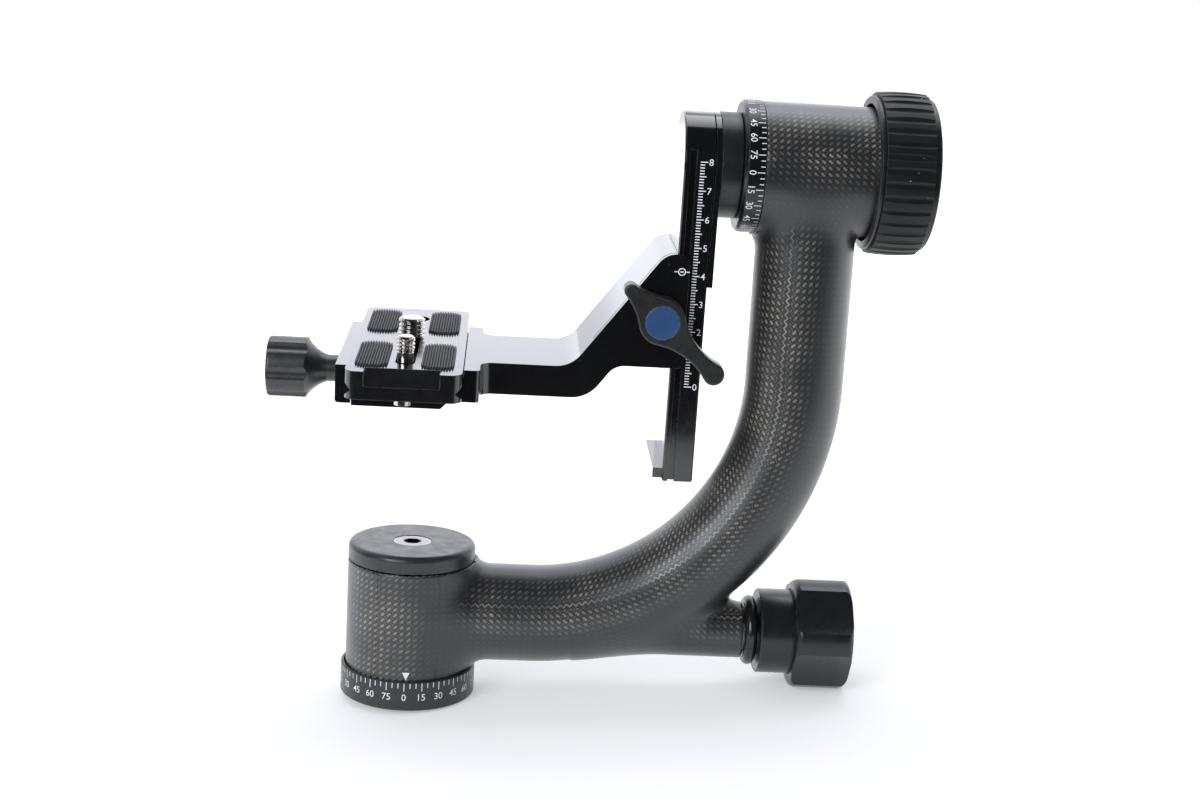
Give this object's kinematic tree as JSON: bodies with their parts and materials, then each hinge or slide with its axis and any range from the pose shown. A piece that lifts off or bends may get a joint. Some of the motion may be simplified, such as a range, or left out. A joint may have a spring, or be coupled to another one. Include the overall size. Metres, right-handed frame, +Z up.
{
  "type": "gimbal tripod head",
  "caption": "Side-mount gimbal tripod head with a carbon arm, pan and tilt locks, a height carriage on a ruled plate and a quick-release clamp.",
  "frame": {"origin": "on the pan axis at the underside of the dial base, at the mouth of the tripod thread", "axes": "+Z up along the pan axis, +X towards the upright arm, +Y to the back"},
  "size_m": [0.2315, 0.1004, 0.2282],
  "materials": {
    "black_aluminium": "black anodised, satin",
    "carbon": "woven carbon fibre under satin lacquer",
    "steel": "machined",
    "bright_steel": "polished",
    "bearing_steel": "ground",
    "rubber": "matt",
    "lining": "friction lining",
    "black_plastic": "satin",
    "blue_cap": "blue anodised look",
    "brass": "machined"
  },
  "bodies": {
    "base": {"pan_base": "black_aluminium", "tripod_insert": "steel", "pan_spindle": "steel", "spindle_screws": "steel", "pan_bearing_inner_rings": "bearing_steel", "pan_brake_drum": "steel", "pan_cap": "black_aluminium", "pan_cap_screw": "bright_steel"},
    "pan_frame": {"carbon_frame": "carbon", "pan_bearing_sleeve": "black_aluminium", "pan_bearing_outer_rings": "bearing_steel", "pan_bearing_balls": "bearing_steel", "tilt_bearing_sleeve": "black_aluminium", "tilt_bearing_outer_rings": "bearing_steel", "tilt_bearing_balls": "bearing_steel", "pan_lock_bushing": "brass", "pan_lock_collar": "black_aluminium", "pan_lock_oring": "rubber", "pan_lock_spring": "steel"},
    "pan_brake": {"pan_lock_rod": "steel", "pan_brake_shoe": "brass"},
    "pan_knob": {"pan_lock_knob": "black_plastic", "pan_lock_screw": "steel"},
    "cradle": {"tilt_shaft": "black_aluminium", "tilt_dial_ring": "black_aluminium", "tilt_bearing_inner_rings": "bearing_steel", "tilt_bearing_spacer": "steel", "tilt_shaft_screw": "steel", "swing_plate": "black_aluminium", "hub_backing_plate": "black_aluminium", "hub_screws": "steel", "stop_bar": "black_aluminium", "stop_bar_screws": "steel"},
    "tilt_brake": {"tilt_brake_disc": "lining", "tilt_pressure_plate": "steel", "tilt_thrust_washer": "brass"},
    "tilt_wheel": {"tilt_wheel_core": "black_aluminium", "tilt_wheel_grip": "rubber", "tilt_wheel_cap": "black_aluminium"},
    "carriage": {"carriage_bracket": "black_aluminium", "lever_nut": "steel", "lever_washer": "black_plastic", "jaw_springs": "steel"},
    "lever": {"clamp_lever": "black_plastic", "lever_cap": "blue_cap", "lever_bolt": "steel"},
    "jaw": {"movable_jaw": "black_aluminium", "jaw_guide_pins": "steel"},
    "jaw_knob": {"clamp_knob": "black_plastic", "clamp_screw": "steel"},
    "plate": {"qr_plate": "black_aluminium", "grip_pads": "rubber", "plate_stop_screws": "bright_steel"},
    "small_slider": {"small_screw_washer": "steel"},
    "small_screw": {"small_camera_screw": "bright_steel"},
    "large_slider": {"large_screw_washer": "steel"},
    "large_screw": {"large_camera_screw": "bright_steel"}
  },
  "joints": [
    {"name": "pan", "type": "hinge", "parent": "base", "child": "pan_frame", "pos_m": [0, 0, 0.03], "axis": [0, 0, 1], "continuous": true},
    {"name": "pan_brake_slide", "type": "slide", "parent": "pan_frame", "child": "pan_brake", "axis": [1, 0, 0], "range_m": [-0.000694, 0]},
    {"name": "pan_knob_turn", "type": "hinge", "parent": "pan_brake", "child": "pan_knob", "pos_m": [0.15, 0, 0.0274], "axis": [1, 0, 0], "range_deg": [-200, 0]},
    {"name": "tilt", "type": "hinge", "parent": "pan_frame", "child": "cradle", "pos_m": [0.1, 0, 0.19935], "axis": [1, 0, 0], "continuous": true},
    {"name": "tilt_brake_slide", "type": "slide", "parent": "cradle", "child": "tilt_brake", "axis": [1, 0, 0], "range_m": [-0.000491, 0]},
    {"name": "tilt_wheel_turn", "type": "hinge", "parent": "tilt_brake", "child": "tilt_wheel", "pos_m": [0.165, 0, 0.19935], "axis": [1, 0, 0], "range_deg": [-118, 0]},
    {"name": "carriage_slide", "type": "slide", "parent": "cradle", "child": "carriage", "axis": [0, -0.0668, 0.9978], "range_m": [-0.0378, 0.0362]},
    {"name": "lever_turn", "type": "hinge", "parent": "carriage", "child": "lever", "pos_m": [0.08415, -0.0235, 0.14616], "axis": [0, 0.9978, 0.0668], "range_deg": [-45, 75]},
    {"name": "jaw_slide", "type": "slide", "parent": "carriage", "child": "jaw", "axis": [1, 0, 0], "range_m": [-0.0042, 0]},
    {"name": "clamp_knob_turn", "type": "hinge", "parent": "jaw", "child": "jaw_knob", "pos_m": [-0.045, 0.00541, 0.11853], "axis": [1, 0, 0], "range_deg": [-2160, 0]},
    {"name": "plate_slide", "type": "slide", "parent": "carriage", "child": "plate", "axis": [0, 0.9978, 0.0668], "range_m": [-0.0098, 0.0098]},
    {"name": "small_screw_slide", "type": "slide", "parent": "plate", "child": "small_slider", "axis": [0, 0.9978, 0.0668], "range_m": [-0.0009, 0.011]},
    {"name": "small_screw_turn", "type": "hinge", "parent": "small_slider", "child": "small_screw", "pos_m": [-0.0034, -0.02977, 0.13201], "axis": [0, -0.0668, 0.9978], "continuous": true},
    {"name": "large_screw_slide", "type": "slide", "parent": "plate", "child": "large_slider", "axis": [0, 0.9978, 0.0668], "range_m": [-0.011, 0.028]},
    {"name": "large_screw_turn", "type": "hinge", "parent": "large_slider", "child": "large_screw", "pos_m": [-0.0034, 0.00735, 0.1345], "axis": [0, -0.0668, 0.9978], "continuous": true}
  ],
  "couplings": [
    {"joint": "pan_knob_turn", "follows": "pan_brake_slide", "rad_per_m": 5026.5},
    {"joint": "tilt_wheel_turn", "follows": "tilt_brake_slide", "rad_per_m": 4188.8},
    {"joint": "clamp_knob_turn", "follows": "jaw_slide", "rad_per_m": 8976}
  ]
}
